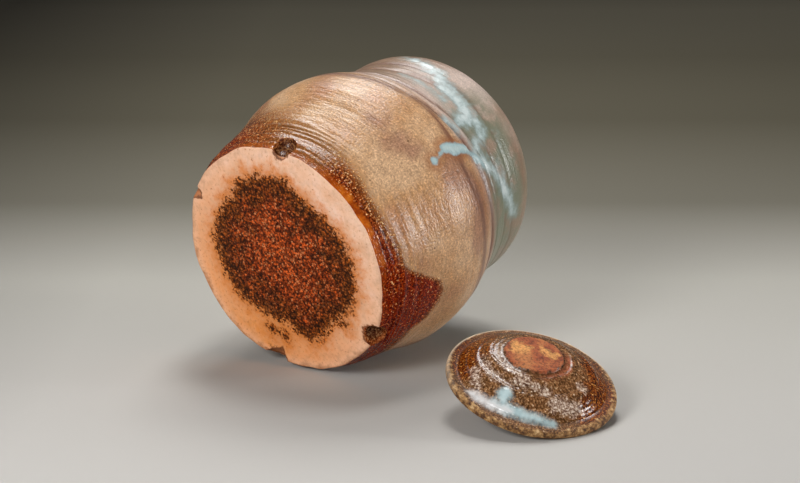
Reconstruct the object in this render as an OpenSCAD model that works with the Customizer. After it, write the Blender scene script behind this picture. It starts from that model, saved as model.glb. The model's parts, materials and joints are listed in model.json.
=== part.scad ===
// Thrown stoneware water jar for the tea ceremony, with a drop-in dish lid.
// The jar is shown on its side, resting on its foot band and belly, with the
// lid taken off and lying upside down beside it, tipped over on its knob.
// Millimetres, +Z up. The floor is Z = 0, +X runs from the foot to the mouth,
// and the origin is under the middle of the whole arrangement.

/* [Jar] */
// Radius of the flat foot
foot_r = 70; // [62:0.5:78]
// Rounding of the foot's edge
foot_round = 1.5; // [0.5:0.1:3]
// Radius at the top of the trimmed foot band
band_r = 73.9; // [71:0.1:80]
// Height of the trimmed foot band
band_z = 13; // [9:0.5:20]
// Widest radius, at the belly
belly_r = 85.5; // [80:0.5:96]
// Height of the belly
belly_z = 67; // [52:0.5:76]
// Radius at the groove between belly and collar
neck_r = 80.4; // [76:0.1:84]
// Height of the groove between belly and collar
neck_z = 96; // [88:0.5:108]
// Radius of the collar
collar_r = 73.9; // [70:0.1:80]
// Height at which the collar starts to turn in to the mouth
collar_z = 135.5; // [125:0.5:142]
// Height of the jar from foot to lip
jar_h = 165; // [158:0.5:185]
// Thickness of the wall
wall = 7; // [5:0.5:10]
// Thickness of the floor
floor_t = 9; // [6:0.5:14]
// Curve between floor and wall, inside
floor_round = 14; // [6:0.5:22]

/* [Tool marks] */
// Radius of the round tool that cut the neck groove
groove_r = 2; // [1:0.1:4]
// Depth of the neck groove
groove_depth = 1.1; // [0.4:0.1:2]
// Radius of the fingertip hollows round the foot
hollow_r = 7.5; // [5:0.5:10]
// How far the hollows reach in from the edge of the foot
hollow_in = 6.5; // [3:0.5:9]
// Height of the middle of a hollow above the foot
hollow_z = 3.5; // [1:0.5:5]

/* [Mouth] */
// Rounding of the lip
lip_round = 1.8; // [1:0.1:3]
// Depth of the lid's ledge below the lip
ledge_depth = 5.5; // [4:0.5:9]
// Width of the lid's ledge
ledge_w = 5.5; // [4:0.5:9]
// Thickness of the lid's ledge
ledge_t = 4.5; // [3:0.5:7]
// Gap between lid and jar, all round
lid_clear = 0.8; // [0.4:0.1:1.5]

/* [Lid] */
// Radius of the lid
lid_r = 47.4; // [42:0.1:54]
// Thickness of the lid's flange
flange_t = 5; // [4:0.5:8]
// Rounding of the lid's edge
edge_round = 1.9; // [1:0.1:2]
// Width of the flat rim on top of the flange
rim_w = 5.5; // [4:0.5:8]
// Depth of the lid's bowl below the flange
bowl_drop = 15; // [11:0.5:20]
// Radius of the bare disc under the bowl
disc_r = 16.3; // [13:0.1:20]
// Height of the step round the disc
disc_step = 1.6; // [0.8:0.1:2.5]
// Thickness of the bowl
bowl_t = 5.5; // [4:0.5:7]
// Radius of the round knob
knob_r = 11; // [8:0.5:13]
// Height of the knob above the rim
knob_h = 16.5; // [14:0.5:20]
// Radius of the knob's neck
knob_neck_r = 6.5; // [5:0.5:7.5]
// Sweep of the dish up into the knob's neck
knob_round = 5; // [2:0.5:6]

/* [Layout] */
// Apart as found, or standing with the lid on
show = "apart"; // [apart, closed]
// Clear floor between the jar's side and the lid
lid_gap = 21.6; // [5:0.2:80]
// Where the lid lies along the jar, from the middle of the foot
lid_along = 23.8; // [-20:0.2:120]
// Direction in which the lid is tipped, about Z from +X
lid_turn = 246.7; // [180:0.1:300]

/* [Hidden] */
$fn = 96;
// Fingertip hollows: angles round the foot from the side that lies down
hollow_at = [15, 122, 190, 307];

// A cubic stretch from a to b, leaving along ta and arriving along tb
function stretch(a, ta, b, tb, n) =
    [for (i = [0 : n - 1]) let (u = i / n, v = 1 - u)
        v * v * v * a + 3 * u * v * v * (a + ta) + 3 * u * u * v * (b - tb) + u * u * u * b];

// Points along an ellipse's arc, both ends included
function arc(c, rx, rz, from, to, n) =
    [for (i = [0 : n]) let (t = from + (to - from) * i / n) [c[0] + rx * cos(t), c[1] + rz * sin(t)]];

function reversed(list) = [for (i = [len(list) - 1 : -1 : 0]) list[i]];

// Slopes of the thrown wall, as radius gained per height
band_lean = 0.3;
wall_lean = 0.15;
neck_lean = -0.28;

// The thrown wall from (r, z) up to the collar, set in by t
function wall_curve(r, z, t) = concat(
    stretch([r, z], [wall_lean, 1] * 0.7 * (belly_z - z),
        [belly_r - t, belly_z], [0, 0.28] * (belly_z - z), 14),
    stretch([belly_r - t, belly_z], [0, 0.65] * (neck_z - belly_z),
        [neck_r - t, neck_z], [neck_lean, 1] * 0.26 * (neck_z - belly_z), 10),
    stretch([neck_r - t, neck_z], [neck_lean, 1] * 0.55 * (collar_z - neck_z),
        [collar_r - t, collar_z], [0, 0.45] * (collar_z - neck_z), 10));

// Mouth and ledge follow the lid
mouth_r = lid_r + lid_clear;
throat_r = mouth_r - ledge_w;
ledge_z = jar_h - ledge_depth;
lip_r = mouth_r + lip_round;

// Outside of the jar, from the middle of the foot up to the lip
outside = concat(
    [[0, 0]],
    arc([foot_r - foot_round, foot_round], foot_round, foot_round, -90, -18, 4),
    stretch([foot_r, foot_round], [band_lean, 1] * 0.4 * band_z,
        [band_r, band_z], [wall_lean, 1] * 0.3 * band_z, 5),
    wall_curve(band_r, band_z, 0),
    arc([lip_r, collar_z], collar_r - lip_r, jar_h - collar_z, 0, 90, 14));

// Inside of the jar, from the middle of the floor up to the lip
floor_in = band_r - wall + wall_lean * (floor_t + floor_round - band_z);
inside = concat(
    [[0, floor_t]],
    arc([floor_in - floor_round, floor_t + floor_round], floor_round, floor_round, -90, -10, 7),
    wall_curve(floor_in, floor_t + floor_round, wall),
    arc([throat_r, collar_z], collar_r - wall - throat_r, ledge_z - ledge_t - collar_z, 0, 90, 10),
    [[throat_r, ledge_z], [mouth_r, ledge_z]],
    arc([lip_r, jar_h - lip_round], lip_round, lip_round, 180, 105, 5));

// Lid standing as it sits in the mouth, Z = 0 at the ledge: underside first, then the dish
seat_r = throat_r - lid_clear;
dish_z = bowl_t - bowl_drop;
knob_z = flange_t + knob_h - knob_r;
underside = concat(
    [[0, -bowl_drop]],
    arc([disc_r - disc_step / 2, disc_step / 2 - bowl_drop], disc_step / 2, disc_step / 2, -90, 0, 4),
    stretch([disc_r + 0.6, disc_step - bowl_drop], [0.4, 0.12] * (seat_r - disc_r),
        [seat_r, 0], [0.2, 0.22] * (seat_r - disc_r), 12),
    [[seat_r, 0]],
    arc([lid_r - edge_round, edge_round], edge_round, edge_round, -90, 0, 6),
    arc([lid_r - edge_round, flange_t - edge_round], edge_round, edge_round, 0, 90, 6));
dish = concat(
    [[0, knob_z]],
    [[knob_neck_r, knob_z]],
    arc([knob_neck_r + knob_round, dish_z + knob_round], knob_round, knob_round, 180, 270, 6),
    stretch([knob_neck_r + knob_round + 1, dish_z], [0.4, 0.05] * (lid_r - knob_neck_r),
        [lid_r - rim_w - 1, flange_t - 0.5], [0.15, 0.16] * (lid_r - knob_neck_r), 12),
    [[lid_r - rim_w - 1, flange_t - 0.5], [lid_r - rim_w, flange_t]]);

// The jar lies on the line that touches its foot band and its belly
low = [for (p = outside) if (p[1] < belly_z / 2) p];
high = [for (p = outside) if (p[1] >= belly_z / 2) p];
tilt = min([for (p = low) max([for (q = high) atan2(q[0] - p[0], q[1] - p[1])])]);
jar_lift = max([for (p = outside) p[0] * cos(tilt) - p[1] * sin(tilt)]);

// The lid leans on its round knob and the edge of its rim
knob_rise = knob_h - knob_r + edge_round;
knob_span = norm([lid_r - edge_round, knob_rise]);
lean = atan2(knob_rise, lid_r - edge_round) + asin((knob_r - edge_round) / knob_span);
lid_lift = knob_r + knob_z * cos(lean);
lid_y = -(belly_r + lid_gap + lid_r);
lid_up = [sin(lean) * cos(lid_turn), sin(lean) * sin(lid_turn), cos(lean)];

// Reach of a turned outline along a direction whose share along the turning axis is k
function reach(list, k) = max([for (p = list) p[0] * sqrt(1 - k * k) + p[1] * k]);

// Middle of the arrangement's box
lid_line = concat(underside, dish);
x_low = min(-reach(outside, -cos(tilt)), lid_along - reach(lid_line, lid_up[0]));
x_high = max(reach(outside, cos(tilt)), lid_along + reach(lid_line, -lid_up[0]));
y_low = min(-reach(outside, 0), lid_y - reach(lid_line, lid_up[1]));
y_high = max(reach(outside, 0), lid_y + reach(lid_line, -lid_up[1]));
middle = [(x_low + x_high) / 2, (y_low + y_high) / 2, 0];

// Jar standing on its foot
module jar_upright() {
    difference() {
        rotate_extrude() polygon(concat(outside, reversed(inside)));
        // neck groove
        rotate_extrude() translate([neck_r - groove_depth + groove_r, neck_z]) circle(groove_r);
        // fingertip hollows
        for (a = hollow_at)
            rotate([0, 0, a])
                translate([foot_r - hollow_in + sqrt(pow(hollow_r, 2) - pow(hollow_z, 2)), 0, hollow_z])
                    sphere(hollow_r);
    }
}

// Lid as it sits on the ledge
module lid_upright() {
    rotate_extrude() polygon(concat(underside, reversed(dish)));
    translate([0, 0, knob_z]) sphere(knob_r);
}

module jar() {
    color("rosybrown")
        if (show == "closed")
            jar_upright();
        else
            translate([0, 0, jar_lift] - middle) rotate([0, 90 - tilt, 0]) jar_upright();
}

module lid() {
    color("saddlebrown")
        if (show == "closed")
            translate([0, 0, ledge_z]) lid_upright();
        else
            translate([lid_along, lid_y, lid_lift] - middle)
                rotate([0, 0, lid_turn]) rotate([0, lean, 0]) rotate([180, 0, 0]) lid_upright();
}

jar();
lid();
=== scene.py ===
import json
import math
from functools import partial
import bpy
import numpy as np
from mathutils import Matrix, Vector, noise


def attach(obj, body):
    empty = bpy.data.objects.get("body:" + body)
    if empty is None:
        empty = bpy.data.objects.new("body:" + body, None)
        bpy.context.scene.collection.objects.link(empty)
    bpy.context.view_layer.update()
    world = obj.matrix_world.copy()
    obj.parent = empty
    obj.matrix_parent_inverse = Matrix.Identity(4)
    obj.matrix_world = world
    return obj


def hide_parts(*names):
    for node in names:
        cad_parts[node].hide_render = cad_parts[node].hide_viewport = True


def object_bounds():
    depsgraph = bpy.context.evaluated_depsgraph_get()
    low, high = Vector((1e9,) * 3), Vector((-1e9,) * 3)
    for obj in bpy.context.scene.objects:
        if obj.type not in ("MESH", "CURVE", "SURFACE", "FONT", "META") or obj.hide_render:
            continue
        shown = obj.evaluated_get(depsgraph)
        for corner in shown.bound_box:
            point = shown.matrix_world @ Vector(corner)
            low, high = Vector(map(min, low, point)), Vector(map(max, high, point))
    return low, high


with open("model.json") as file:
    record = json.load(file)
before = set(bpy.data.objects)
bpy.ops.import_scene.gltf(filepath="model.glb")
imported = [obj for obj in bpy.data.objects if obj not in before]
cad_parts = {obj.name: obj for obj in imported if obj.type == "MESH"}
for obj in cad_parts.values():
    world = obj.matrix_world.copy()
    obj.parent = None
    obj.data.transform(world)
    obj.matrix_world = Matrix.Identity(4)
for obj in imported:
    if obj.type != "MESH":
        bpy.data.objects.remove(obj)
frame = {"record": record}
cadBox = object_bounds()
print("frame loaded", [list(map(float, corner)) for corner in cadBox])


def linear(hexColour):
    # sRGB hex to the linear colour that the nodes take
    parts = [int(hexColour[i:i + 2], 16) / 255 for i in (1, 3, 5)]
    return tuple(c / 12.92 if c < 0.04045 else ((c + 0.055) / 1.055) ** 2.4 for c in parts) + (1.0,)


def addNode(tree, kind, values=None, links=None, stops=None, **settings):
    # one node, with its settings, socket values, links and, on a ramp, its stops
    node = tree.nodes.new("ShaderNode" + kind)
    for key, value in settings.items():
        setattr(node, key, value)
    for key, value in (values or {}).items():
        node.inputs[key].default_value = value
    for key, source in (links or {}).items():
        tree.links.new(source if hasattr(source, "is_linked") else source.outputs[0], node.inputs[key])
    for i, (at, tone) in enumerate(stops or []):
        stop = node.color_ramp.elements[i] if i < 2 else node.color_ramp.elements.new(at)
        stop.position = at
        stop.color = linear(tone) if isinstance(tone, str) else (tone, tone, tone, 1.0)
    return node


def newMaterial(name):
    material = bpy.data.materials.new(name)
    material.use_nodes = True
    material.node_tree.nodes.clear()
    return material, partial(addNode, material.node_tree)  # the material, and what adds a node to it


# steps that the finishes share
def readings(add, marks, noises):
    # what a finish reads: upright place in mm, marks on the mesh, noises of (size in mm, detail, roughness)
    place = add("Attribute", attribute_name="uprightMm").outputs["Vector"]
    mark = {name: add("Attribute", attribute_name=name).outputs["Fac"] for name in marks.split()}
    made = [add("TexNoise", {"Scale": 1 / size, "Detail": detail, "Roughness": rough}, {"Vector": place})
            for size, detail, rough in noises]
    return place, mark, made


def frayed(add, depth, breaker, reach, low=0.3, high=0.7):
    # a depth whose edge wanders with a noise, up to reach mm either way
    wander = add("MapRange", {"From Min": low, "From Max": high, "To Min": -reach, "To Max": reach},
                 {"Value": breaker})
    return add("Math", {}, {0: depth, 1: wander}, operation="ADD")


def faded(add, amount, by, low, high, least=0.0, most=1.0, ease="LINEAR"):
    # an amount that changes with a noise or a depth
    share = add("MapRange", {"From Min": low, "From Max": high, "To Min": least, "To Max": most},
                {"Value": by}, interpolation_type=ease)
    return add("Math", {}, {0: amount, 1: share}, operation="MULTIPLY")


def layered(add, under, over, depth, start, full, most=1.0, ease="SMOOTHSTEP"):
    # a colour, or a hex tone, laid over another: none at the start depth, most of it at the full depth
    share = add("MapRange", {"From Min": start, "From Max": full, "To Max": most},
                {"Value": depth}, interpolation_type=ease)
    if isinstance(over, str):
        return add("MixRGB", {"Color2": linear(over)}, {"Fac": share, "Color1": under})
    return add("MixRGB", {}, {"Fac": share, "Color1": under, "Color2": over})


def shaded(add, colour, pattern, stops, amount):
    # a colour darkened and lightened by a pattern
    tones = add("ValToRGB", {}, {0: pattern}, stops)
    return add("MixRGB", {"Fac": amount}, {"Color1": colour, "Color2": tones}, blend_type="MULTIPLY")


def toned(add, depth, start, end, stops):
    # a colour that changes with depth
    share = add("MapRange", {"From Min": start, "From Max": end}, {"Value": depth})
    return add("ValToRGB", {}, {0: share}, stops)


def fired(add, colour, rough, skin, relief, gloss):
    # the finish closed: skin, a height in mm, as bump on fired clay or glaze
    bump = add("Bump", {"Strength": relief, "Distance": 0.001}, {"Height": skin})
    shader = add("BsdfPrincipled", {"IOR": 1.5, "Specular IOR Level": gloss},
                 {"Base Color": colour, "Roughness": rough, "Normal": bump})
    add("OutputMaterial", {}, {"Surface": shader})


# where the photograph was taken from
camera = dict(place=(-0.89384, -0.62975, 0.32991), ahead=(0.78381, 0.57772, -0.22777),
              lens=86.0, sensor=36.0)  # metres, and millimetres for lens and sensor
lensData = bpy.data.cameras.new("camera")
lensData.lens = camera["lens"]
lensData.sensor_width = camera["sensor"]
viewer = bpy.data.objects.new("camera", lensData)
viewer.location = camera["place"]
viewer.rotation_euler = Vector(camera["ahead"]).to_track_quat("-Z", "Y").to_euler()
bpy.context.scene.collection.objects.link(viewer)
bpy.context.scene.camera = viewer
print("camera set")


# shapes shared by jar and lid, in millimetres, standing upright as thrown
farMm = 40.0  # a mark this far off doesn't touch a point


def stretch(start, leave, end, arrive, count):
    start, leave, end, arrive = (np.array(p, float) for p in (start, leave, end, arrive))
    u = np.arange(count)[:, None] / count
    v = 1 - u
    return v ** 3 * start + 3 * u * v * v * (start + leave) + 3 * u * u * v * (end - arrive) + u ** 3 * end


def arc(centre, rx, rz, fromDeg, toDeg, count):
    t = np.radians(np.linspace(fromDeg, toDeg, count + 1))
    return np.column_stack([centre[0] + rx * np.cos(t), centre[1] + rz * np.sin(t)])


def polar(radius, degrees, height=0):
    return (radius * math.cos(math.radians(degrees)), radius * math.sin(math.radians(degrees)), height)


def resample(line, spacing):
    # points along the outline, as far apart as spacing says at each place
    step = np.linalg.norm(np.diff(line, axis=0), axis=1)
    line = line[np.concatenate([[True], step > 1e-6])]
    step = step[step > 1e-6]
    along = np.concatenate([[0], np.cumsum(step / spacing((line[1:] + line[:-1]) / 2))])
    marks = np.linspace(0, along[-1], int(along[-1]) + 1)
    return np.column_stack([np.interp(marks, along, line[:, k]) for k in (0, 1)])


def turn(line, around):
    # the outline turned about Z: points, ring numbers, angles, outward normals and faces
    rings = len(line) - 2
    angle = np.arange(around) * 2 * math.pi / around
    slope = np.gradient(line, axis=0)
    normal = np.column_stack([slope[:, 1], -slope[:, 0]])
    normal /= np.linalg.norm(normal, axis=1)[:, None]
    ring = np.concatenate([[0], np.repeat(np.arange(1, rings + 1), around), [rings + 1]])
    theta = np.concatenate([[0], np.tile(angle, rings), [0]])
    spin = np.column_stack([np.cos(theta), np.sin(theta)])
    points = np.column_stack([spin * line[ring, :1], line[ring, 1]])
    outward = np.column_stack([spin * normal[ring, :1], normal[ring, 1]])
    outward[0], outward[-1] = (0, 0, -1), (0, 0, 1)
    k, n = np.arange(around), np.roll(np.arange(around), -1)
    faces = np.column_stack([np.zeros(around, int), 1 + n, 1 + k]).tolist()
    for i in range(rings - 1):
        low, high = 1 + i * around, 1 + (i + 1) * around
        faces += np.column_stack([low + k, low + n, high + n, high + k]).tolist()
    low = 1 + (rings - 1) * around
    faces += np.column_stack([low + k, low + n, np.full(around, low + around)]).tolist()
    degrees = (np.degrees(theta) + 180) % 360 - 180
    return points, ring, degrees, outward, faces


def grain(points, size, seed=0.0):
    # soft noise from about -1 to 1, size in mm, one number or one for each axis
    return np.array([noise.noise(p) for p in (points / np.array(size) + seed).tolist()])


def smooth(low, high, value):
    t = np.clip((value - low) / (high - low), 0, 1)
    return t * t * (3 - 2 * t)


def roundTable(table, angle):
    # a value round the piece, from pairs of degrees and value
    keys = sorted(table.items())
    at = np.array([k for k, v in keys], float)
    value = np.array([v for k, v in keys], float)
    return np.interp(angle, np.concatenate([at - 360, at, at + 360]), np.tile(value, 3))


def alongRuns(points, runs):
    # how deep each point lies in glaze runs, where a run is a row of (place, radius)
    depth = np.full(len(points), -farMm)
    for run in runs:
        pairs = zip(run[:-1], run[1:]) if len(run) > 1 else [(run[0], run[0])]
        for (a, ra), (b, rb) in pairs:
            a, b = np.array(a), np.array(b)
            span = max(float((b - a) @ (b - a)), 1e-9)
            t = np.clip((points - a) @ (b - a) / span, 0, 1)
            gap = np.linalg.norm(points - a - t[:, None] * (b - a), axis=1)
            depth = np.maximum(depth, ra + (rb - ra) * t - gap)
    return depth


def makePiece(name, points, faces, place, marks, upright):
    # mesh in the shared frame, in metres; its points carry the upright place in mm and the finish marks
    world = (points @ np.array(place.to_3x3()).T + np.array(place.translation)) / 1000
    world = np.clip(world, np.array(cadBox[0]), np.array(cadBox[1]))
    mesh = bpy.data.meshes.new(name)
    mesh.from_pydata(world.tolist(), [], faces)
    stored = mesh.attributes.new("uprightMm", "FLOAT_VECTOR", "POINT")
    stored.data.foreach_set("vector", upright.astype(np.float32).ravel())
    for mark, value in marks.items():
        stored = mesh.attributes.new(mark, "FLOAT", "POINT")
        stored.data.foreach_set("value", value.astype(np.float32))
    mesh.polygons.foreach_set("use_smooth", np.ones(len(mesh.polygons), bool))
    mesh.update()
    piece = bpy.data.objects.new(name, mesh)
    bpy.context.scene.collection.objects.link(piece)
    return piece


# the jar
jar = dict(
    # sizes in mm, as the solid has them
    footR=70, footRound=1.5, bandR=73.9, bandZ=13, bellyR=85.5, bellyZ=67, neckR=80.4, neckZ=96,
    collarR=73.9, collarZ=135.5, height=165, wall=7, floorT=9, floorRound=14,
    lipRound=1.8, ledgeZ=159.5, ledgeT=4.5, mouthR=48.2, throatR=42.7,
    bandLean=0.3, wallLean=0.15, neckLean=-0.28, ledgeBevel=0.8,
    # how straight the outline leaves and meets its bends, as shares of the height between them
    bandPull=(0.4, 0.3), bellyPull=(0.7, 0.28), neckPull=(0.65, 0.26), collarPull=(0.55, 0.45),
    # points round the jar, and mm between their rows: up the wall and the heights where that changes, on the
    # foot near its edge and further in, and inside near the mouth and below
    around=480, rowGaps=(0.5, 1.0, 0.7, 1.1, 0.7), rowHeights=(26, 84, 135, 160),
    footGaps=(0.6, 1.0), innerGaps=(0.7, 2.4),
    # height of the flat of the foot, and height to which glaze was wiped off it
    flatZ=0.3, wipedZ=0.45,
    # heights over which throwing marks start and fade, and trimming marks on the foot band
    throwFrom=(18, 28), throwFade=(150, 160), trimFrom=(3, 8), trimFade=(22, 32),
    # radius and height over which the wobble of the foot's edge starts and fades
    wobbleFrom=(56, 69), wobbleFade=(6, 16),
    # spiral inside: height of a turn and depth
    spiral=(9, 0.45),
    # everything below that goes round the jar is in degrees from the side that lies down
    # fingertip hollows: degrees, middle out from the foot's edge and up from the foot, radius, half width
    # on either side, roundness (1 is a notch, 2 is round), and whether glaze ran in
    hollows=[
        (14, 3.0, -2.5, 11.5, 6.5, 15.0, 1.4, False), (121.5, 3.0, -2.5, 8.2, 8.0, 5.0, 1.3, False),
        (189, 2.2, 5.0, 6.8, 6.6, 6.6, 2.0, True), (190.5, 3.0, -2.5, 8.6, 5.5, 5.5, 1.4, False),
        (303.5, 3.0, -2.5, 10.2, 8.4, 8.4, 2.0, True)],
    # grooves left by the thrower: depth, half width, and height round the jar
    grooves=[
        (1.2, 1.5, {-180: 91, -165: 90, -150: 89, -138: 92, -124: 96, -104: 98, -66: 96, -30: 95, 60: 95,
                    150: 93}),
        (0.7, 1.2, {-180: 100, -157: 98, -145: 98, -133: 103, -115: 106, -90: 106, 0: 103, 120: 102}),
        (0.6, 1.4, {-180: 119, -152: 121, -120: 117, -90: 119, 0: 122, 120: 122}),
        (0.3, 1.3, {-180: 129, -150: 130, -90: 128, 0: 131, 120: 130}),
        (0.1, 2.2, {-180: 80, -157: 84, -145: 88, -134: 86, -113: 79, -92: 82, 0: 84, 120: 82})],
    # upper edge of the brown foot glaze, and how softly it ends
    brownEdge={148: 50, 165: 36, 177: 30, -169: 25, -156: 21, -146: 18, -134: 15, -124: 13, -114: 12,
               -106: 14, -99: 16, -91: 17, -87: 22, -82: 31, -76: 43, -70: 46, -64: 44, -56: 39, -51: 31,
               -38: 31, -10: 26, 20: 22, 60: 24, 100: 34, 125: 44},
    brownSoft={148: 9, 177: 7, -160: 5, -140: 3, -110: 2, -88: 1.4, -70: 1.2, -55: 1.4, -38: 3, 20: 5,
               90: 9},
    # edge of the scorched middle of the foot, and scorched spots outside it: rows of (radius, degrees, size)
    scorchR={154: 53, -169: 53, -154: 46, -135: 47, -110: 51, -82: 51, -61: 50, -40: 46, -12: 52, 6: 42,
             33: 44, 59: 50, 98: 52, 137: 49},
    scorchSpots=[[(50, 24, 1.6), (51, 21, 2.6), (51, 15, 1.8), (51, 10, 2.8)],
                 [(51, -49, 1.8), (48, -46, 1.2)]],
    # pale blue glaze: crisp drops and soft wide runs, as rows of (height, degrees, radius)
    blueDrops=[
        [(73, -125, 3.2), (79, -123, 3.9), (87, -121.7, 3.4), (93, -120, 3.0)],
        [(60.8, -123, 2.7)], [(61, -123, 1.0), (66, -123.5, 0.8), (72, -125, 1.8)],
        [(93, -120, 3.0), (98, -115, 2.6), (104, -110, 1.4)]],
    blueRuns=[
        [(141, -182, 1.4), (138, -171, 2.2), (132, -158, 3.4), (126, -151, 5.0), (123, -146, 5.4),
         (123, -139, 4.6), (121, -134, 5.0), (113, -131.5, 5.0), (104, -132, 2.4)],
        [(119, -130, 2.4), (123, -127, 2.6), (120, -123, 2.8), (113, -120, 3.0), (104, -118, 3.2),
         (98, -116, 3.0)],
        [(98, -116, 2.6), (104, -112, 3.4), (112, -105, 3.6), (119, -97, 3.4), (124, -88, 3.2),
         (130, -78, 2.2)],
        [(112, -113, -1.5), (120, -108, -1.0), (124, -100, -1.5)], [(131, -118, -2.2), (129, -110, -1.8)],
        [(95, -134, 2.0), (97, -129, 2.4)],
        [(114, -168, 0.2), (113, -158, 0.8), (112, -150, 0.8), (111, -144, 0.2)]],
    # mauve clouds in the tan glaze, as rows of (height, degrees, radius)
    mauveClouds=[
        [(50, -152, 4), (51, -147, 7), (47, -140, 5), (53, -132, 5)],
        [(82, -110, 4), (80, -98, 7), (74, -84, 7)], [(75, -118, 8), (70, -115, 9), (75, -111, 7)],
        [(60, -30, 8), (66, -10, 5)], [(45, 60, 9), (50, 80, 6)], [(62, 128, 9), (55, 146, 6)]],
    # grey-green haze on the collar, and browner glaze round it, strongest along the top of the collar where
    # that darkening is painted shade, with heights over which they start and fade
    hazeFrom=(96, 108), hazeFade=(134, 146), toastedAndShadedFrom=(90, 104),
    haze={-180: 0.05, -155: 0.1, -143: 0.4, -130: 0.9, -80: 1.0, -40: 0.8, 30: 0.6, 110: 0.4},
    toasted={-180: 1.0, -166: 0.7, -150: 0.0, -125: 0.05, -108: 0.45, -85: 0.75, -50: 0.7, 60: 0.5,
             150: 0.8},
    # where the brown glaze is sugary rather than smooth, and from where on it is dry
    sugary={-176: 0.3, -166: 0.1, -152: 0.2, -140: 0.8, -60: 1.0, 0: 0.8, 100: 0.9, 150: 0.75, 172: 0.5},
    dryFrom=0.9,
    # clay warmed to orange round the foot, and thin amber glaze along its edge, up to about this height
    amberFade=(5.5, 3.0),
    ember={-180: 0.1, -110: 0.0, -60: 0.35, -10: 0.8, 30: 1.0, 90: 0.7, 140: 0.3},
    amber={180: 0.3, -165: 0.3, -150: 0.3, -138: 0.8, -110: 1, -96: 0.6, -84: 0.1, -40: 0, 60: 0.5, 120: 0},
)


def jarOutline():
    j = jar

    def wallCurve(r, z, t):
        low, mid, high = j["bellyZ"] - z, j["neckZ"] - j["bellyZ"], j["collarZ"] - j["neckZ"]
        belly = (j["bellyR"] - t, j["bellyZ"])
        neck = (j["neckR"] - t, j["neckZ"])
        collar = (j["collarR"] - t, j["collarZ"])
        rise, lean = np.array([j["wallLean"], 1]), np.array([j["neckLean"], 1])
        return np.vstack([
            stretch((r, z), rise * j["bellyPull"][0] * low, belly, (0, j["bellyPull"][1] * low), 60),
            stretch(belly, (0, j["neckPull"][0] * mid), neck, lean * j["neckPull"][1] * mid, 40),
            stretch(neck, lean * j["collarPull"][0] * high, collar, (0, j["collarPull"][1] * high), 40)])

    lipR = j["mouthR"] + j["lipRound"]
    floorIn = j["bandR"] - j["wall"] + j["wallLean"] * (j["floorT"] + j["floorRound"] - j["bandZ"])
    foot = j["footR"] - j["footRound"]
    outside = np.vstack([
        [(0, 0)],
        arc((foot, j["footRound"]), j["footRound"], j["footRound"], -90, -18, 8),
        stretch((j["footR"], j["footRound"]), np.array([j["bandLean"], 1]) * j["bandPull"][0] * j["bandZ"],
                (j["bandR"], j["bandZ"]), np.array([j["wallLean"], 1]) * j["bandPull"][1] * j["bandZ"], 20),
        wallCurve(j["bandR"], j["bandZ"], 0),
        arc((lipR, j["collarZ"]), j["collarR"] - lipR, j["height"] - j["collarZ"], 0, 90, 40)])
    under = j["ledgeZ"] - j["ledgeT"]
    shoulder = j["collarR"] - j["wall"] - j["throatR"]
    floorZ = j["floorT"] + j["floorRound"]
    inside = np.vstack([
        [(0, j["floorT"])],
        arc((floorIn - j["floorRound"], floorZ), j["floorRound"], j["floorRound"], -90, -10, 20),
        wallCurve(floorIn, floorZ, j["wall"]),
        arc((j["throatR"], j["collarZ"]), shoulder, under - j["collarZ"], 0, 90, 30),
        [(j["throatR"], j["ledgeZ"] - j["ledgeBevel"]), (j["throatR"] + j["ledgeBevel"], j["ledgeZ"])],
        [(j["mouthR"], j["ledgeZ"])],
        arc((lipR, j["height"] - j["lipRound"]), j["lipRound"], j["lipRound"], 180, 95, 12)])

    def outsideStep(p):
        r, z = p[:, 0], p[:, 1]
        onFoot = np.where(r > 52, *j["footGaps"])
        onWall = np.array(j["rowGaps"])[np.searchsorted(j["rowHeights"], z, "right")]
        return np.where(z < j["flatZ"], onFoot, onWall)

    outer = resample(outside, outsideStep)
    inner = resample(inside[::-1], lambda p: np.where(p[:, 1] > 150, *j["innerGaps"]))
    return np.vstack([outer, inner]), len(outer)


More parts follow.
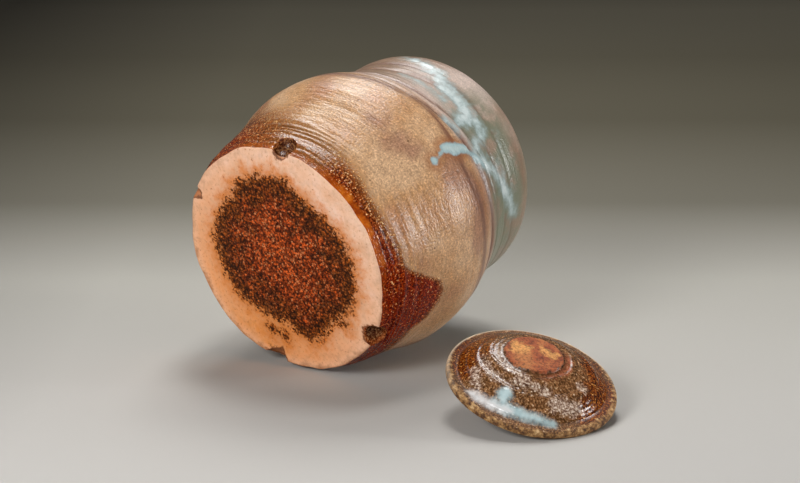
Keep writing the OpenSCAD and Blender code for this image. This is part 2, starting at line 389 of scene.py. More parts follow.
def jarMesh():
    j = jar
    line, outerCount = jarOutline()
    points, ring, theta, outward, faces = turn(line, j["around"])
    upright = points.copy()
    level = points * (1, 1, 0)
    r, z = np.hypot(points[:, 0], points[:, 1]), points[:, 2]
    outer = ring < outerCount
    base = outer & (z < j["flatZ"])
    wallSide = outer & ~base

    def onWall(rows):
        # depth in mm into glaze that lies on the wall
        placed = [[(polar(np.interp(h, line[:outerCount, 1], line[:outerCount, 0]), d, h), size)
                   for h, d, size in row] for row in rows]
        return np.where(wallSide, alongRuns(points, placed), -farMm)

    # finish marks, as depths in mm into each finish
    along = np.concatenate([[0], np.cumsum(np.linalg.norm(np.diff(line, axis=0), axis=1))])
    bare = np.where(outer, along[np.argmax(line[:, 1] > j["wipedZ"])] - along[ring], -farMm)
    spots = [[(polar(a, d), size) for a, d, size in row] for row in j["scorchSpots"]]
    scorch = np.maximum(roundTable(j["scorchR"], theta) - r, alongRuns(points, spots))
    scorch = np.where(base, scorch, -farMm)
    brown = (roundTable(j["brownEdge"], theta) - z) / roundTable(j["brownSoft"], theta)
    brown = np.where(base, 4.0, np.where(wallSide, brown, -9.0))
    blue, mist, mauve = (onWall(j[rows]) for rows in ("blueDrops", "blueRuns", "mauveClouds"))

    # tool work, in mm along the surface normal
    lively = 0.10 + 0.22 * smooth(-0.1, 0.5, grain(points, 48, 4.7)) + 0.25 * smooth(44, 22, z)
    throwing = grain(points, (34, 34, 3.2), 3.1) * lively + grain(points, (12, 12, 1.8), 8.7) * 0.5 * lively
    throwing = throwing * smooth(*j["throwFrom"], z) * (1 - 0.6 * smooth(*j["throwFade"], z))
    push = np.where(wallSide, throwing, 0)
    wave = points + np.outer(grain(level, 24, 1.4) * 1.6, (0, 0, 1))
    trimming = np.abs(grain(wave, (60, 60, 3.6), 5.5)) * 1.5 - 0.45 + grain(wave, (30, 30, 1.5), 2.9) * 0.25
    push += np.where(wallSide, trimming * smooth(*j["trimFrom"], z) * (1 - smooth(*j["trimFade"], z)), 0)
    neck = np.zeros(len(points))
    for depth, width, heights in j["grooves"]:
        gap = z - roundTable(heights, theta) - grain(level, 40, depth) * 0.8
        push -= np.where(wallSide, depth * np.exp(-(gap / width) ** 2), 0)
        neck = np.maximum(neck, np.where(wallSide, np.exp(-(gap / (width * 1.9)) ** 2), 0))
    # a slow wobble, then grit on the foot, more of it in the scorch, and glaze that stands proud
    push += np.where(outer, grain(points, 55, 1.9) * 0.5, 0) * smooth(0, 40, np.where(base, r, 60))
    grit = grain(points, 2.6, 2.2) * 0.40 + grain(points, 1.4, 7.3) * 0.25
    push += np.where(base, grit * (0.25 + 0.75 * smooth(-3, 3, scorch)) + grain(points, 14, 4.4) * 0.35, 0)
    push += np.where(wallSide, 0.45 * smooth(-0.3, 1.8, blue) + 0.2 * smooth(-1, 3, mist), 0)
    turnHeight, turnDepth = j["spiral"]
    turns = (z / turnHeight - theta / 360) * 2 * math.pi
    push += np.where(~outer & (z < 150) & (r > 20), turnDepth * np.sin(turns), 0)
    points = points + outward * push[:, None]

    # the foot's edge is cut by hand and isn't quite round
    sway = grain(level, 26, 6.3) * 1.3 + grain(level, 9, 2.6) * 0.7
    sway *= np.where(outer, smooth(*j["wobbleFrom"], r) * (1 - smooth(*j["wobbleFade"], z)), 0)
    points[:, :2] += upright[:, :2] / np.maximum(r, 1)[:, None] * sway[:, None]

    # fingertip hollows: clay in the way of the fingertip is pressed back to it
    hollow = np.full(len(points), farMm)
    for degrees, out, up, radius, before, after, roundness, glazed in j["hollows"]:
        outDir, aside = np.array(polar(1, degrees)), np.array(polar(1, degrees + 90))
        gap = points - outDir * (j["footR"] + out) - np.array([0, 0, up])
        inPlane = gap - (gap @ aside)[:, None] * aside
        apart = np.maximum(np.linalg.norm(inPlane, axis=1), 1e-6)
        half = np.where(gap @ aside < 0, before, after)
        share = np.clip(np.abs(gap @ aside) / half, 0, 1)
        ball = radius * (1 - share ** roundness) ** (1 / roundness)
        near = outer & (z < 30) & (points @ outDir > 40)
        points = points + np.where(near & (apart < ball), ball / apart - 1, 0)[:, None] * inPlane
        beyond = np.maximum(np.abs(gap @ aside) - half, 0)
        rim = np.where(apart < ball, apart - ball, np.hypot(np.maximum(apart - ball, 0), beyond))
        rim = np.where(near, rim, farMm)
        crumble = grain(points, 2.4, 5.1) * 0.5 + grain(points, 5, 8.2) * 0.5
        points = points + outDir * (crumble * np.where(near, smooth(0, -2, rim), 0))[:, None]
        if glazed:
            bare = np.where(near, np.minimum(bare, rim - 0.4), bare)
            brown = np.where(near, np.maximum(brown, 1.5 - rim / 2.5), brown)
        else:
            bare = np.where(near, np.maximum(bare, 0.4 - rim), bare)
        hollow = np.minimum(hollow, rim)
    upright = np.where(hollow[:, None] < 0, points, upright)

    amber = roundTable(j["amber"], theta) * smooth(*j["amberFade"], z + grain(upright, 7, 3.9) * 1.5)
    haze = roundTable(j["haze"], theta) * smooth(*j["hazeFrom"], z) * (1 - 0.5 * smooth(*j["hazeFade"], z))
    sugary = roundTable(j["sugary"], theta) + grain(upright, 7, 4.2) * 0.08
    marks = dict(
        bare=bare, scorch=scorch, brown=brown, blue=blue, mist=mist, mauve=mauve, neck=neck, hollow=hollow,
        amber=np.where(wallSide, amber, 0), haze=np.where(wallSide, haze, 0),
        toasted=roundTable(j["toasted"], theta) * smooth(*j["toastedAndShadedFrom"], z),
        ember=roundTable(j["ember"], theta),
        sugary=np.maximum(sugary, 0.85 * smooth(1, -1, hollow)),
        within=np.where(outer, 0.0, smooth(160, 150, z)))

    # stands on the foot's mount, with X towards the floor
    foot = frame["record"]["mounts"][0]
    up = -Vector(foot["axis"])
    side = Vector((0, 1, 0))
    spin = Matrix([side.cross(up), side, up]).transposed()
    place = Matrix.Translation(Vector(foot["pos_m"]) * 1000) @ spin.to_4x4()
    return makePiece("jar_body", points, faces, place, marks, upright)


jarBody = jarMesh()
print("jar made", len(jarBody.data.vertices))


# Ash glaze on wood-fired stoneware, melted on in the kiln. The eye gets a tan gloss with fine speckle, a
# dark sugary brown round the foot, mauve in the grooves and milky blue runs on the collar.
# Glaze crystals are under half a millimetre, and are drawn at about 1 mm so that they show. The brightest
# flecks among them are painted glints.
def ashGlaze(name, gloss):
    material, add = newMaterial(name)
    place, mark, (patch, cloud, mottle, speck) = readings(
        add, "brown blue mist mauve neck amber haze toasted sugary hollow within",
        [(38, 4, 0.55), (14, 3, 0.6), (5.5, 3, 0.6), (1.1, 1, 0.6)])
    height = add("SeparateXYZ", {}, {0: place}).outputs["Z"]

    # noises pulled out round the jar by throwing, with their width and height in mm, and pits 8 mm apart
    pulled = add("VectorMath", {1: (1 / 30, 1 / 30, 1 / 3.2)}, {0: place}, operation="MULTIPLY")
    streak = add("TexNoise", {"Scale": 1.0, "Detail": 3, "Roughness": 0.6}, {"Vector": pulled})
    drawn = add("VectorMath", {1: (1 / 6, 1 / 6, 1 / 1.8)}, {0: place}, operation="MULTIPLY")
    silk = add("TexNoise", {"Scale": 1.0, "Detail": 2, "Roughness": 0.6}, {"Vector": drawn})
    pits = add("TexVoronoi", {"Scale": 1 / 8}, {"Vector": place}, feature="F1").outputs["Distance"]
    pull = [(0.36, 0.80), (0.50, 1.0), (0.66, 1.14)]
    # speckle tones: the top stop lifts sparse flecks far above the glaze as painted glints
    speckleAndGlints = [(0.34, 0.62), (0.46, 0.95), (0.58, 1.05), (0.70, 1.55)]

    # tan glaze with soft mauve clouds, faint streaks, fine speckle whose brightest flecks are painted glints,
    # and small pits
    tan = add("ValToRGB", {}, {0: patch}, [(0.36, "#a67551"), (0.50, "#b68a60"), (0.64, "#c29d79")])
    tan = layered(add, tan, "#906450", frayed(add, mark["mauve"], cloud, 6), -7, 6, 0.65)
    tan = shaded(add, tan, silk, pull, 0.6)
    tan = shaded(add, tan, speck, speckleAndGlints, 0.8)
    tan = layered(add, tan, "#4d3018", pits, 0.11, 0.05, 0.8, "LINEAR")

    # the collar is pinker and paler, its paleness partly a painted highlight, and browned in places, most
    # along its top, where the darkening is painted shade
    pink = add("ValToRGB", {}, {0: patch}, [(0.38, "#b09183"), (0.50, "#c1aca3"), (0.62, "#cbbab4")])
    # painted shade: the browner tone darkens the collar most along its top
    pink = add("MixRGB", {"Color2": linear("#6e5543")}, {"Fac": mark["toasted"], "Color1": pink})
    pink = shaded(add, pink, speck, speckleAndGlints, 0.4)
    pink = shaded(add, pink, silk, pull, 0.5)
    colour = layered(add, tan, pink, height, 86, 100, 0.75)

    # mauve in the grooves of the neck, and grey-green haze on the collar
    grooves = faded(add, mark["neck"], streak, 0.34, 0.56, 0.3, 0.9, "SMOOTHSTEP")
    colour = add("MixRGB", {"Color2": linear("#6e4939")}, {"Fac": grooves, "Color1": colour})
    haze = faded(add, mark["haze"], cloud, 0.36, 0.56, 0.4, ease="SMOOTHSTEP")
    colour = add("MixRGB", {"Color2": linear("#6f725e")}, {"Fac": haze, "Color1": colour})

    # soft milky runs on the collar
    mist = frayed(add, mark["mist"], mottle, 3.2)
    milk = toned(add, mist, -2, 5, [(0.0, "#889997"), (0.5, "#a3b4b4"), (1.0, "#c6d1d0")])
    colour = layered(add, colour, milk, mist, -6.0, 3.6, 0.9)

    # crisp drops with a rusty stain round them
    drops = frayed(add, mark["blue"], mottle, 0.9)
    stain = add("MapRange", {"From Min": -7, "From Max": -0.5, "To Max": 0.6}, {"Value": drops},
                interpolation_type="SMOOTHSTEP")
    stain = faded(add, stain, height, 102, 90)
    colour = add("MixRGB", {"Color2": linear("#8c5530")}, {"Fac": stain, "Color1": colour})
    milk = toned(add, drops, -0.5, 3, [(0.0, "#829a9e"), (0.5, "#9bb1b3"), (1.0, "#aebfbe")])
    colour = layered(add, colour, milk, drops, -0.9, 0.9)

    # brown glaze on the foot band: sugary, with cream flecks that are partly crystals and partly painted
    # glints, olive where it thins, amber at the foot's edge
    brownMask = add("MapRange", {"From Min": -1, "From Max": 1},
                    {"Value": frayed(add, mark["brown"], speck, 1.4)}, interpolation_type="SMOOTHSTEP")
    # the palest stop of each ramp paints sparse glints on the sugary grains
    sugar, deep, olive = (add("ValToRGB", {}, {0: speck}, stops) for stops in [
        [(0.34, "#300b01"), (0.46, "#6a1e02"), (0.56, "#8e3306"), (0.66, "#ab5f1c"), (0.74, "#edc995")],
        [(0.34, "#370900"), (0.46, "#691601"), (0.58, "#882403"), (0.68, "#a4480f"), (0.76, "#e4c084")],
        [(0.36, "#451f08"), (0.48, "#77431a"), (0.58, "#8f592a"), (0.70, "#e2b881")]])
    sugar = layered(add, sugar, deep, mark["sugary"], 0.84, 0.96, ease="LINEAR")
    sugar = layered(add, sugar, olive, mark["brown"], 4.4, 0.5, 0.7)
    sugar = shaded(add, sugar, silk, [(0.36, 0.62), (0.50, 1.0), (0.66, 1.4)], 0.7)
    sugar = layered(add, sugar, "#8b6134", mark["sugary"], 0.7, 0.2, 0.5, "LINEAR")
    amber = add("ValToRGB", {}, {0: mottle}, [(0.36, "#8e3806"), (0.50, "#b4560f"), (0.64, "#c86e1c")])
    sugar = add("MixRGB", {}, {"Fac": mark["amber"], "Color1": sugar, "Color2": amber})
    colour = add("MixRGB", {}, {"Fac": brownMask, "Color1": colour, "Color2": sugar})

    # amber lip and dark core in the glazed hollows
    for start, full, most, stops in [
            (1.5, -0.5, 0.8, [(0.36, "#50230d"), (0.50, "#823f18"), (0.64, "#ae7340")]),
            (-1.6, -4.4, 0.75, [(0.36, "#200d05"), (0.50, "#45210f"), (0.68, "#80603f")])]:
        tone = add("ValToRGB", {}, {0: speck}, stops)
        colour = layered(add, colour, tone, mark["hollow"], start, full, most)

    # olive liner glaze inside
    liner = add("ValToRGB", {}, {0: streak}, [(0.34, "#5a3d20"), (0.52, "#80603a"), (0.68, "#a6875c")])
    colour = add("MixRGB", {}, {"Fac": mark["within"], "Color1": colour, "Color2": liner})

    # satin on the belly and the collar, wet on the foot band
    rough = add("MapRange", {"To Min": 0.31, "To Max": 0.17}, {"Value": brownMask})

    # skin, in mm: orange peel pulled round by throwing, and sugar on the brown
    crust = add("Math", {}, {0: brownMask, 1: mark["sugary"]}, operation="MULTIPLY")
    peel = faded(add, speck, crust, 0, 1, 0.26, 0.42)
    calm = add("MapRange", {"From Min": 88, "From Max": 104, "To Min": 0.45, "To Max": 0.12},
               {"Value": height})
    skin = add("Math", {}, {0: silk, 1: calm, 2: peel}, operation="MULTIPLY_ADD")
    fired(add, colour, rough, skin, 0.8, gloss)
    return material


# Bare stoneware clay, wiped clean of glaze and toasted by the fire. The eye gets matt peach with fine sand,
# orange towards the middle, and there a gritty scorch, charred at its rim and red in its heart.
# The grit is about half a millimetre, and is drawn at 1.2 mm so that it shows.
def bareClay():
    material, add = newMaterial("bare_stoneware_clay")
    place, mark, (cloud, mottle, sand) = readings(
        add, "bare scorch hollow ember", [(14, 3, 0.6), (5.5, 3, 0.6), (1.9, 2, 0.65)])
    grit = add("TexVoronoi", {"Scale": 1 / 1.2}, {"Vector": place}, feature="F1")
    gritTone = add("SeparateColor", {}, {0: grit.outputs["Color"]})

    # peach clay: pale at its edge, orange on one side and towards the scorch, rusty round the hollows, with a
    # dark band along their edge that is painted shade in the crease
    clay = add("ValToRGB", {}, {0: cloud}, [(0.34, "#e1ae8b"), (0.52, "#edc0a2"), (0.68, "#f2cbb4")])
    warm = faded(add, mark["ember"], cloud, 0.36, 0.60, 0.7)
    clay = add("MixRGB", {"Color2": linear("#e7944e")}, {"Fac": warm, "Color1": clay})
    clay = layered(add, clay, "#efc6a8", mark["bare"], 8, 1, 0.4)
    clay = layered(add, clay, "#cf7a38", frayed(add, mark["scorch"], mottle, 5), -11, 0, 0.85)
    rust = frayed(add, mark["hollow"], mottle, 2, 0.35, 0.65)
    # rust round the unglazed hollows, with a dark band at their edge that is painted shade in the crease
    rustAndCreaseShade = toned(add, rust, -6, 3, [(0.0, "#cf966c"), (0.42, "#b46d3f"), (0.62, "#4c2410"),
                                      (0.72, "#5e2d12"), (0.90, "#b06a3a")])
    clay = layered(add, clay, rustAndCreaseShade, rust, 2.5, 0.5, 0.85)
    stain = faded(add, warm, frayed(add, mark["bare"], mottle, 2, 0.35, 0.65), 4.0, 0, most=0.8)
    clay = add("MixRGB", {"Color2": linear("#a25c2c")}, {"Fac": stain, "Color1": clay})
    clay = shaded(add, clay, mottle, [(0.34, 0.86), (0.50, 1.0), (0.66, 1.05)], 0.7)
    clay = shaded(add, clay, sand, [(0.27, "#b58d72"), (0.36, "#f4eee8"), (0.48, "#ffffff")], 0.75)

    # scorched middle of separate grains: toasted at its edge, then charred, then red
    fuzz = add("MapRange", {"To Min": -2.8, "To Max": 2.4}, {"Value": gritTone.outputs[1]})
    edge = add("Math", {}, {0: mark["scorch"], 1: fuzz}, operation="ADD")
    edge = frayed(add, edge, mottle, 3)
    scorchMask = add("MapRange", {"From Min": -2.0, "From Max": 1.2}, {"Value": edge},
                     interpolation_type="SMOOTHSTEP")
    lobes = add("MapRange", {"From Min": 0.3, "From Max": 0.7, "To Min": -15, "To Max": 15},
                {"Value": cloud})
    heart = add("MapRange", {"From Min": 7, "From Max": 14}, {"Value": mark["scorch"]})
    heart = add("Math", {}, {0: heart, 1: lobes, 2: edge}, operation="MULTIPLY_ADD")
    heart = add("MapRange", {"From Min": -3, "From Max": 37}, {"Value": heart})
    char = add("ValToRGB", {}, {0: heart}, [
        (0.0, "#c27c42"), (0.06, "#9a5524"), (0.12, "#72390e"), (0.26, "#69300a"), (0.45, "#79330c"),
        (0.70, "#92390f"), (0.95, "#a04316")])
    for pattern, stops, amount in [
            (gritTone, [(0.0, 0.22), (0.35, 0.58), (0.70, 1.2), (1.0, 1.6)], 1.0),  # grains
            (mottle, [(0.36, 0.62), (0.50, 1.0), (0.66, 1.45)], 0.9),  # lumps
            (sand, [(0.38, 0.28), (0.50, 1.0), (0.63, 1.8)], 0.9)]:  # clods
        char = shaded(add, char, pattern, stops, amount)
    glint = add("MapRange", {"From Min": 0.80, "From Max": 0.97, "To Max": 0.8}, {"Value": gritTone})
    glint = faded(add, glint, heart, 0.3, 0.6, 0.25)
    char = add("MixRGB", {"Color2": linear("#b8754a")}, {"Fac": glint, "Color1": char})
    # painted light and shade: each grain is lightened at its middle and darkened in the crevices round it
    creviceShade = add("MapRange", {"From Min": 0.25, "From Max": 0.75, "To Min": 1.4, "To Max": 0.45},
                  {"Value": grit.outputs["Distance"]})
    char = add("MixRGB", {"Fac": 0.9}, {"Color1": char, "Color2": creviceShade}, blend_type="MULTIPLY")
    colour = add("MixRGB", {}, {"Fac": scorchMask, "Color1": clay, "Color2": char})

    # skin, in mm: sand on the clay, grains in the scorch
    skin = add("Math", {1: 0.2}, {0: sand}, operation="MULTIPLY")
    rise = add("Math", {1: -0.6}, {0: grit.outputs["Distance"]}, operation="MULTIPLY")
    skin = add("Math", {}, {0: rise, 1: scorchMask, 2: skin}, operation="MULTIPLY_ADD")
    rough = add("MapRange", {"To Min": 0.85, "To Max": 0.55}, {"Value": scorchMask})
    fired(add, colour, rough, skin, 0.7, 0.12)
    return material


# the brown is dry, with less gloss, where it is most sugary
for finish in (ashGlaze("wood_fired_ash_glaze", 0.36), bareClay(), ashGlaze("dry_sugary_ash_glaze", 0.12)):
    jarBody.data.materials.append(finish)
onPoint = [np.array([item.value for item in jarBody.data.attributes[mark].data])
           for mark in ("bare", "brown", "sugary")]
for face in jarBody.data.polygons:
    bare, brown, sugary = (values[list(face.vertices)].mean() for values in onPoint)
    face.material_index = 1 if bare > 0 else 2 if brown > 1 and sugary > jar["dryFrom"] else 0
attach(jarBody, "jar")
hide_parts("jar")
print("jar finished")


# the lid
lid = dict(
    # sizes in mm, as the solid has them
    radius=47.4, flangeT=5, edgeRound=1.9, rimW=5.5, bowlDrop=15, discR=16.3, discStep=1.6, bowlT=5.5,
    knobR=11, knobH=16.5, knobNeckR=6.5, knobRound=5, seatR=41.9, discBevel=0.6, rimBevel=(1, 0.5),
    # how straight the outline leaves and meets the bends of bowl and dish, as shares (out, up) of the width
    bowlPull=((0.4, 0.12), (0.2, 0.22)), dishPull=((0.4, 0.05), (0.15, 0.16)),
    # points round the lid, and mm between their rows underneath and on top
    around=360, rowGaps=(0.5, 0.8),
    # radius from which a point belongs to the rim, and to its very edge
    rimFrom=40, edgeFrom=46,
    # where it lies: along from the jar's foot, clear floor beside the jar, and the way it tips
    along=23.8, gap=21.6, turn=246.7,
    # the disc was cut a little off centre, and the radius over which that fades
    discShift=(-2.8, 0.8), shiftFade=(17, 36),
    # everything below that goes round the lid is in degrees from its low side
    # radius from which the rim is bare, and where its very edge is pale
    bareEdge={-110: 45.8, -85: 45.2, -60: 45, -28: 44.7, -5: 44.7, 4: 45.4, 12: 46.2, 60: 46.2, 90: 45,
              115: 44.6, 140: 45.6, 175: 46.3, -150: 46.3},
    paleLip={-150: 1, -110: 0.9, -85: 0.4, -60: 0, 90: 0, 140: 0.5, 165: 1},
    # terraces left by the thrower's fingers: height, and radius round the lid
    terraces=[(1.0, {180: 27, 134: 25, 85: 21, 65: 20, 0: 20, -72: 22, -120: 25}),
              (0.95, {180: 34, 93: 30, 40: 29.5, 3: 29.5, -72: 32, -120: 34}),
              (0.15, {180: 38, 90: 35, 0: 35.5, -90: 37})],
    # rows of (radius, degrees, size): glaze that broke to rust, milky splash and blue drops, paler clay on
    # the disc, and pale bloom on the terraces, partly a painted highlight
    rustPatches=[[(36, 168, 8), (37, 150, 11), (36, 128, 11), (36, 108, 7)],
                 [(39, -20, 7), (39, -45, 11), (36, -90, 10)]],
    whiteSplash=[[(41.5, 88, 0.8), (41, 79, 1.9), (40.3, 68, 2.2), (39.5, 57, 1.4), (39.5, 50, 0.6)]],
    blueSplash=[[(39.3, 66, 2.0), (39, 52, 2.8), (39.5, 34, 2.4), (41.5, 16, 1.2)], [(33.5, 61, 3.9)],
                [(33.5, 61, 2.4), (38.5, 58, 2.4)]],
    palePatches=[[(12, 141, 4.4), (10, 163, 3.8)], [(15, 157, 3.0)], [(9, -80, 3.2), (8, -120, 2.6)]],
    bloom=[[(19.5, 150, 1.2), (20, 118, 2.8), (20.3, 85, 2.4), (20, 45, 1.2)],
           [(29, 118, 1.0), (28.8, 92, 2.0), (29, 60, 1.0)], [(34, 104, 2.6), (37, 88, 2.4)],
           [(24, 60, 2), (25, 20, 2)], [(33, 12, 4.0), (36, -6, 3.6)], [(29, -30, 2.5)]],
    # red clay showing in the step beside the disc, and the radius over which it starts and fades
    blushFrom=(16.5, 18), blushFade=(22.5, 20),
    blush={-95: 0, -73: 1, -5: 1, 25: 0.2, 90: 0, 180: 0},
)


def lidOutline():
    k = lid
    span = k["seatR"] - k["discR"]
    half = k["discStep"] / 2
    e = k["edgeRound"]
    dishZ = k["bowlT"] - k["bowlDrop"]
    knobZ = k["flangeT"] + k["knobH"] - k["knobR"]
    leave, arrive = np.array(k["bowlPull"]) * span
    under = np.vstack([
        [(0, -k["bowlDrop"])],
        arc((k["discR"] - half, half - k["bowlDrop"]), half, half, -90, 0, 8),
        stretch((k["discR"] + k["discBevel"], k["discStep"] - k["bowlDrop"]), leave,
                (k["seatR"], 0), arrive, 60),
        [(k["seatR"], 0)],
        arc((k["radius"] - e, e), e, e, -90, 0, 10),
        arc((k["radius"] - e, k["flangeT"] - e), e, e, 0, 90, 10)])
    rim = k["radius"] - k["knobNeckR"]
    neck = math.degrees(math.asin(k["knobNeckR"] / k["knobR"]))
    meet = knobZ - k["knobR"] * math.cos(math.radians(neck))
    rimIn = (k["radius"] - k["rimW"] - k["rimBevel"][0], k["flangeT"] - k["rimBevel"][1])
    fillet, filletR = k["knobRound"], k["knobNeckR"] + k["knobRound"]
    leave, arrive = np.array(k["dishPull"]) * rim
    dish = stretch((filletR + 1, dishZ), leave, rimIn, arrive, 50)
    top = np.vstack([
        [(k["radius"] - k["rimW"], k["flangeT"]), rimIn],
        dish[::-1],
        arc((filletR, dishZ + fillet), fillet, fillet, 270, 180, 12),
        [(k["knobNeckR"], meet)],
        arc((0, knobZ), k["knobR"], k["knobR"], neck - 90, 90, 50)])
    top[-1, 0] = 0
    return resample(np.vstack([under, top]), lambda p: np.where(p[:, 1] < 1, *k["rowGaps"]))


def lidMesh():
    k = lid
    line = lidOutline()
    points, ring, phi, outward, faces = turn(line, k["around"])
    rimRing = np.argmax(line[:, 0])
    below = ring <= rimRing
    r, z = np.hypot(points[:, 0], points[:, 1]), points[:, 2]
    upright = points.copy()

    def patches(rows):
        # depth in mm into patches on the bowl
        placed = [[(polar(a, d, np.interp(a, line[:rimRing, 0], line[:rimRing, 1])), size)
                   for a, d, size in row] for row in rows]
        return np.where(below, alongRuns(points, placed), -farMm)

    # finish marks, as depths in mm into each finish
    disc = np.where(below, k["discR"] - r, -farMm)
    bareRim = np.where(r > k["rimFrom"], r - roundTable(k["bareEdge"], phi), -farMm)
    bareRim = np.where(below | (z < k["flangeT"] - 0.2) & (r > k["edgeFrom"]), bareRim, -farMm)
    white, blue = patches(k["whiteSplash"]), patches(k["blueSplash"])
    blush = roundTable(k["blush"], phi) * smooth(*k["blushFrom"], r) * smooth(*k["blushFade"], r)
    blush = np.where(below, blush, 0)

    # tool work, in mm along the surface normal
    push = np.zeros(len(points))
    for rise, radii in k["terraces"]:
        step = r - roundTable(radii, phi) - grain(points * (1, 1, 0), 18, rise) * 0.9
        ledge = smooth(-1.6, 0.2, step) - smooth(0.2, 7, step)
        push += np.where(below, rise * ledge * (0.7 + 0.5 * np.cos(np.radians(phi - 20))), 0)
    # turning lines, grains that are coarser on the disc, a soft dimpling, and glaze that stands proud
    push += np.where(below & (disc < 0), grain(points, (60, 60, 1.2), 7.7) * 0.3, 0)
    push += np.where(below, grain(points, 1.7, 1.1) * np.where(disc > 0, 0.20, 0.11), 0)
    push += np.where(below & (r < k["rimFrom"]) & (disc < -1), grain(points, 5, 6.6) * 0.12, 0)
    push += grain(points, 22, 9.1) * np.where(r > k["rimFrom"], 0.25, 0.4)
    push += 0.3 * smooth(-0.3, 1.5, np.maximum(white, blue))
    points = points + outward * push[:, None]
    slide = np.where(below, 1 - smooth(*k["shiftFade"], r), 0)
    points[:, :2] += slide[:, None] * np.array(k["discShift"])

    # upside down, leaning on its round knob and the edge of its rim
    knobRise = k["knobH"] - k["knobR"] + k["edgeRound"]
    reach = k["radius"] - k["edgeRound"]
    lean = math.atan2(knobRise, reach)
    lean += math.asin((k["knobR"] - k["edgeRound"]) / math.hypot(reach, knobRise))
    lift = k["knobR"] + (k["flangeT"] + k["knobH"] - k["knobR"]) * math.cos(lean)
    foot = Vector(frame["record"]["mounts"][0]["pos_m"]) * 1000
    origin = (foot.x + k["along"], foot.y - jar["bellyR"] - k["gap"] - k["radius"], lift)
    place = Matrix.Translation(origin) @ Matrix.Rotation(math.radians(k["turn"]), 4, "Z") \
        @ Matrix.Rotation(lean, 4, "Y") @ Matrix.Rotation(math.pi, 4, "X")
    marks = dict(disc=disc, bareRim=bareRim, white=white, blue=blue, rust=patches(k["rustPatches"]),
                 pale=patches(k["palePatches"]), blush=blush, ringMm=r, bloom=patches(k["bloom"]),
                 paleLip=roundTable(k["paleLip"], phi) * smooth(45.2, 46.4, r))
    return makePiece("lid_body", points, faces, place, marks, upright)


lidBody = lidMesh()
print("lid made", len(lidBody.data.vertices))


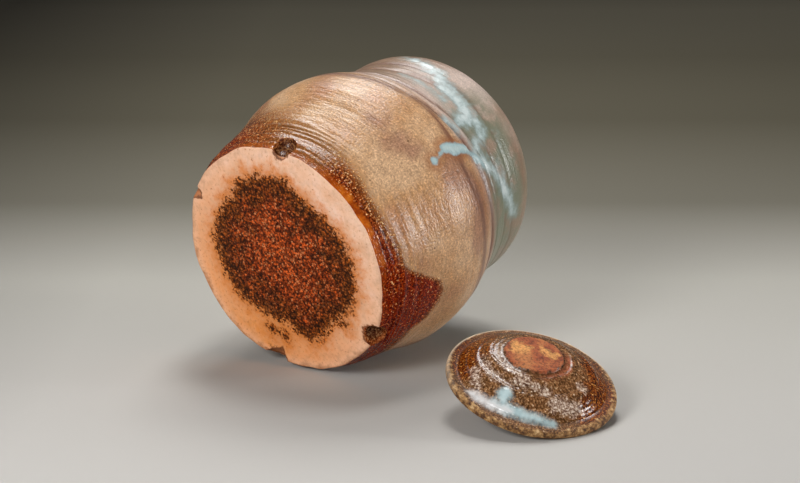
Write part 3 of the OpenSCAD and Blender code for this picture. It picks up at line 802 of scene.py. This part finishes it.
# The lid's stoneware: the same ash glaze, thicker and darker, on terraces left by the thrower's fingers,
# with a rough red disc and a tan rim where no glaze took. The eye gets amber, brown and near black grains,
# all glinting; the palest grains are painted glints. Its crystals are finer than the picture can show and
# are drawn at about 1 mm.
def lidMaterial():
    material, add = newMaterial("dark_ash_glaze_stoneware")
    place, mark, (speck, coarse, cloud) = readings(
        add, "disc bareRim white blue rust pale blush ringMm bloom paleLip",
        [(1.1, 1, 0.6), (3.5, 3, 0.65), (14, 3, 0.6)])

    # turning lines, about 2 mm apart
    ringPlace = add("CombineXYZ", {}, {"X": mark["ringMm"]})
    drift = add("VectorMath", {1: (0.06, 0.06, 0.0)}, {0: place}, operation="MULTIPLY")
    ringPlace = add("VectorMath", {}, {0: ringPlace, 1: drift}, operation="ADD")
    rings = add("TexNoise", {"Scale": 1 / 2.0, "Detail": 2, "Roughness": 0.5}, {"Vector": ringPlace})

    # glaze grains, grey-brown on the terraces, red-brown where it broke to rust, and pale bloom that is
    # partly a painted highlight on the terraces
    # the palest stop of the dusk and rust ramps paints sparse glints on the grains
    dusk, rust, bloom = (add("ValToRGB", {}, {0: speck}, stops) for stops in [
        [(0.34, "#3f2712"), (0.46, "#654124"), (0.57, "#805735"), (0.69, "#9f7952"), (0.80, "#ecd8be")],
        [(0.34, "#240b02"), (0.46, "#552204"), (0.57, "#78390a"), (0.69, "#a0621a"), (0.80, "#eccd92")],
        [(0.36, "#64463a"), (0.48, "#a28875"), (0.58, "#bda896"), (0.70, "#e8dccf")]])
    colour = layered(add, dusk, rust, frayed(add, mark["rust"], cloud, 6), -5, 4)
    uneven = [(0.36, 0.62), (0.50, 1.0), (0.64, 1.35)]
    colour = shaded(add, colour, coarse, uneven, 0.7)
    blush = faded(add, mark["blush"], coarse, 0.36, 0.58, most=0.8)
    colour = add("MixRGB", {"Color2": linear("#9a5138")}, {"Fac": blush, "Color1": colour})
    colour = shaded(add, colour, rings, uneven, 0.6)
    # pale bloom on the terraces: partly thin glaze, partly a painted highlight along their ledges
    colour = layered(add, colour, bloom, frayed(add, mark["bloom"], coarse, 3), -2.5, 2.5, 0.85)

    # milky splash: blue, with white over its left end
    milk = add("ValToRGB", {}, {0: cloud}, [(0.36, "#8fb0b6"), (0.64, "#b9cdcf")])
    colour = layered(add, colour, milk, frayed(add, mark["blue"], coarse, 1.1), -2.8, 2.6, 0.95)
    colour = layered(add, colour, "#d6d4d3", frayed(add, mark["white"], coarse, 1.1), -2.8, 2.4, 0.95)

    # rough red clay on the disc, with a dark seam round it that is painted shade, paler patches and fine
    # turning lines
    disc = frayed(add, mark["disc"], coarse, 0.8)
    # painted shade: the glaze just outside the disc is darkened where the disc's step would shade it
    colour = layered(add, colour, "#2b150a", disc, -2.2, -0.6, 0.6, "LINEAR")
    discMask = add("MapRange", {"From Min": -0.5, "From Max": 0.4}, {"Value": disc},
                   interpolation_type="SMOOTHSTEP")
    red = add("ValToRGB", {}, {0: cloud}, [(0.36, "#7c381c"), (0.5, "#9b512a"), (0.64, "#aa6a3b")])
    red = layered(add, red, "#cd9150", frayed(add, mark["pale"], coarse, 2.5), -1.5, 2, 0.9)
    red = shaded(add, red, rings, [(0.38, 0.72), (0.5, 1.0), (0.64, 1.1)], 0.6)
    dots = [(0.34, 0.35), (0.46, 0.95), (0.66, 1.2)]
    red = shaded(add, red, speck, dots, 0.75)
    colour = add("MixRGB", {}, {"Fac": discMask, "Color1": colour, "Color2": red})

    # bare tan rim, pale along its far edge
    rimMask = add("MapRange", {"From Min": -0.6, "From Max": 0.6},
                  {"Value": frayed(add, mark["bareRim"], coarse, 1.8)}, interpolation_type="SMOOTHSTEP")
    tan = add("ValToRGB", {}, {0: coarse}, [
        (0.40, "#472a13"), (0.48, "#7d5731"), (0.57, "#a27a4b"), (0.68, "#c2a073")])
    tan = shaded(add, tan, speck, dots, 0.5)
    colour = add("MixRGB", {}, {"Fac": rimMask, "Color1": colour, "Color2": tan})
    colour = add("MixRGB", {"Color2": linear("#ddc9af")}, {"Fac": mark["paleLip"], "Color1": colour})

    # wet on the bowl, dull on the rim and on bare clay
    bareMask = add("Math", {}, {0: discMask, 1: rimMask}, operation="MAXIMUM")
    dull = add("MapRange", {"From Min": 40.5, "From Max": 43, "To Min": 0.18, "To Max": 0.8},
               {"Value": mark["ringMm"]})
    rough = add("MixRGB", {"Color2": (0.8, 0.8, 0.8, 1)}, {"Fac": bareMask, "Color1": dull})
    skin = faded(add, speck, bareMask, 0, 1, 0.19, 0.30)
    fired(add, colour, rough, skin, 0.7, 0.4)
    return material


lidBody.data.materials.append(lidMaterial())
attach(lidBody, "lid")
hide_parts("lid")
print("lid finished")


# floor and light
studio = dict(
    floorSize=9.0, ambient=0.10, aim=(0, 0, 0.07),
    # paper: metres ahead of the camera over which its tone changes, metres to the left over which it darkens,
    # how far it does, and its tones from near to far, all of it painted shade for light falling off
    ahead=(0.8, 3.4), left=(0.2, 0.62), leftTone=0.3,
    paper=[(0.0, "#bcb9b5"), (0.08, "#b4b1ac"), (0.19, "#a8a59d"), (0.29, "#706c60"), (0.45, "#625d4e"),
           (0.64, "#7a7462"), (0.85, "#a39c88")],
    # name, place in m, size in m, power in W, spread in degrees (the low one has a grid)
    lamps=[
        ("back_softbox", (0.55, 0.48, 1.05), (0.60, 0.45), 8.0, 180),
        ("overhead_softbox", (0.20, 0.10, 1.35), (0.34, 0.34), 6.2, 180),
        ("left_softbox", (-1.30, -0.05, 0.70), (0.50, 0.50), 16.0, 180),
        ("right_softbox", (0.66, -1.06, 0.24), (0.30, 0.36), 1.15, 60),
    ],
)
half = studio["floorSize"] / 2
corners = [(-half, -half, 0), (half, -half, 0), (half, half, 0), (-half, half, 0)]
floorMesh = bpy.data.meshes.new("floor")
floorMesh.from_pydata(corners, [], [(0, 1, 2, 3)])
floor = bpy.data.objects.new("floor", floorMesh)
bpy.context.scene.collection.objects.link(floor)

# Seamless studio paper, matt: pale under the object; its darkening with distance behind it and to its left
# is painted shade, standing for the light falling off
paper, add = newMaterial("studio_paper")
place = add("NewGeometry").outputs["Position"]
ahead = Vector(camera["ahead"]).xy.normalized()
left = Vector((-ahead.y, ahead.x))
depth, across = (add("VectorMath", {1: (way.x, way.y, 0)}, {0: place}, operation="DOT_PRODUCT")
                 for way in (ahead, left))
start = Vector(camera["place"]).xy.dot(ahead)
side = Vector(camera["place"]).xy.dot(left)
# painted shade: the paper darkens with distance ahead and to the left, standing for the light falling off
tone = toned(add, depth.outputs["Value"], start + studio["ahead"][0], start + studio["ahead"][1],
             studio["paper"])
paintedSideShade = add("MapRange", {
    "From Min": side + studio["left"][0], "From Max": side + studio["left"][1],
    "To Min": 1, "To Max": studio["leftTone"]}, {"Value": across.outputs["Value"]})
tone = add("MixRGB", {"Fac": 1.0}, {"Color1": tone, "Color2": paintedSideShade}, blend_type="MULTIPLY")
shader = add("BsdfPrincipled", {"Roughness": 0.9, "Specular IOR Level": 0.2}, {"Base Color": tone})
add("OutputMaterial", {}, {"Surface": shader})
floorMesh.materials.append(paper)

world = bpy.data.worlds.new("studio")
bpy.context.scene.world = world
world.use_nodes = True
world.node_tree.nodes["Background"].inputs["Color"].default_value = linear("#f2f0ee")
world.node_tree.nodes["Background"].inputs["Strength"].default_value = studio["ambient"]
for name, place, size, power, spread in studio["lamps"]:
    data = bpy.data.lights.new(name, "AREA")
    data.shape = "RECTANGLE"
    data.size, data.size_y = size
    data.energy = power
    data.spread = math.radians(spread)
    lamp = bpy.data.objects.new(name, data)
    lamp.location = place
    lamp.rotation_euler = (Vector(studio["aim"]) - Vector(place)).to_track_quat("-Z", "Y").to_euler()
    lamp.visible_camera = False
    bpy.context.scene.collection.objects.link(lamp)
bpy.context.scene.view_settings.view_transform = "Standard"
print("floor and light set")
